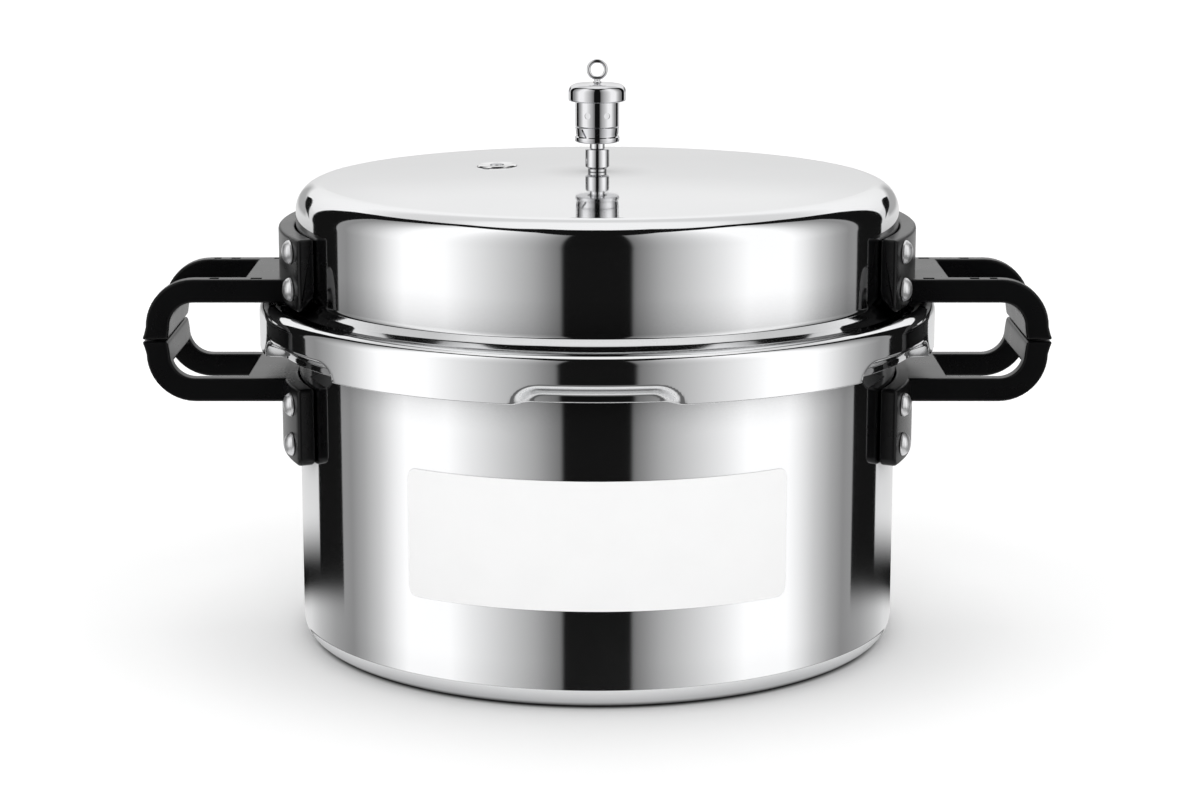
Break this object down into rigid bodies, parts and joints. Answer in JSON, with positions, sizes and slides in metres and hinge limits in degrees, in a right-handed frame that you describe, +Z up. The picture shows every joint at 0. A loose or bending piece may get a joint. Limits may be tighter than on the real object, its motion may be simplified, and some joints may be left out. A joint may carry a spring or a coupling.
{
  "type": "pressure cooker",
  "caption": "Large aluminium pressure cooker with an outer bayonet lid, moulded side handles, vent pipe with lift-off pressure weight and a fusible safety valve.",
  "frame": {"origin": "centre of the flat base, on the surface that the cooker stands on", "axes": "+Z up along the axis of the pot, +X through the right handle pair, -Y towards the viewer of the picture"},
  "size_m": [0.479, 0.361, 0.3086],
  "materials": {
    "polished_aluminium": "mirror polished, spun",
    "rivet_aluminium": "satin, formed",
    "black_phenolic": "satin moulded phenolic resin",
    "black_rubber": "matt moulded",
    "bright_chrome": "polished plating on turned brass",
    "plated_brass": "bright nickel plated, turned",
    "tin_alloy": "dull cast low melting alloy",
    "white_label": "plain white glossy film",
    "stainless_steel": "bright turned or drawn"
  },
  "bodies": {
    "pot": {"pot_body": "polished_aluminium", "pot_handle_left": "black_phenolic", "pot_handle_right": "black_phenolic", "pot_rivet_left_1": "rivet_aluminium", "pot_rivet_left_2": "rivet_aluminium", "pot_rivet_left_3": "rivet_aluminium", "pot_rivet_left_4": "rivet_aluminium", "pot_rivet_right_1": "rivet_aluminium", "pot_rivet_right_2": "rivet_aluminium", "pot_rivet_right_3": "rivet_aluminium", "pot_rivet_right_4": "rivet_aluminium"},
    "lid": {"lid_shell": "polished_aluminium", "sealing_gasket": "black_rubber", "lid_handle_left": "black_phenolic", "lid_handle_right": "black_phenolic", "lid_rivet_left_1": "rivet_aluminium", "lid_rivet_left_2": "rivet_aluminium", "lid_rivet_left_3": "rivet_aluminium", "lid_rivet_left_4": "rivet_aluminium", "lid_rivet_right_1": "rivet_aluminium", "lid_rivet_right_2": "rivet_aluminium", "lid_rivet_right_3": "rivet_aluminium", "lid_rivet_right_4": "rivet_aluminium", "vent_pipe": "stainless_steel", "vent_washer": "black_rubber", "vent_nut": "stainless_steel", "safety_valve_body": "plated_brass", "fusible_plug": "tin_alloy", "safety_valve_washer": "black_rubber", "safety_valve_nut": "plated_brass"},
    "weight": {"weight_sleeve": "bright_chrome", "weight_clip": "stainless_steel", "weight_body": "bright_chrome", "weight_needle": "stainless_steel", "weight_cap": "bright_chrome"},
    "pull_ring": {"pull_ring": "stainless_steel"}
  },
  "joints": [
    {"name": "lid_twist", "type": "hinge", "parent": "pot", "child": "lid", "pos_m": [0, 0, 0.17], "axis": [0, 0, 1], "range_deg": [0, 30]},
    {"name": "weight_lift", "type": "slide", "parent": "lid", "child": "weight", "axis": [0, 0, 1], "range_m": [0, 0.03]},
    {"name": "pull_ring_swivel", "type": "hinge", "parent": "weight", "child": "pull_ring", "pos_m": [0, 0, 0.3], "axis": [0, 0, 1], "continuous": true}
  ]
}
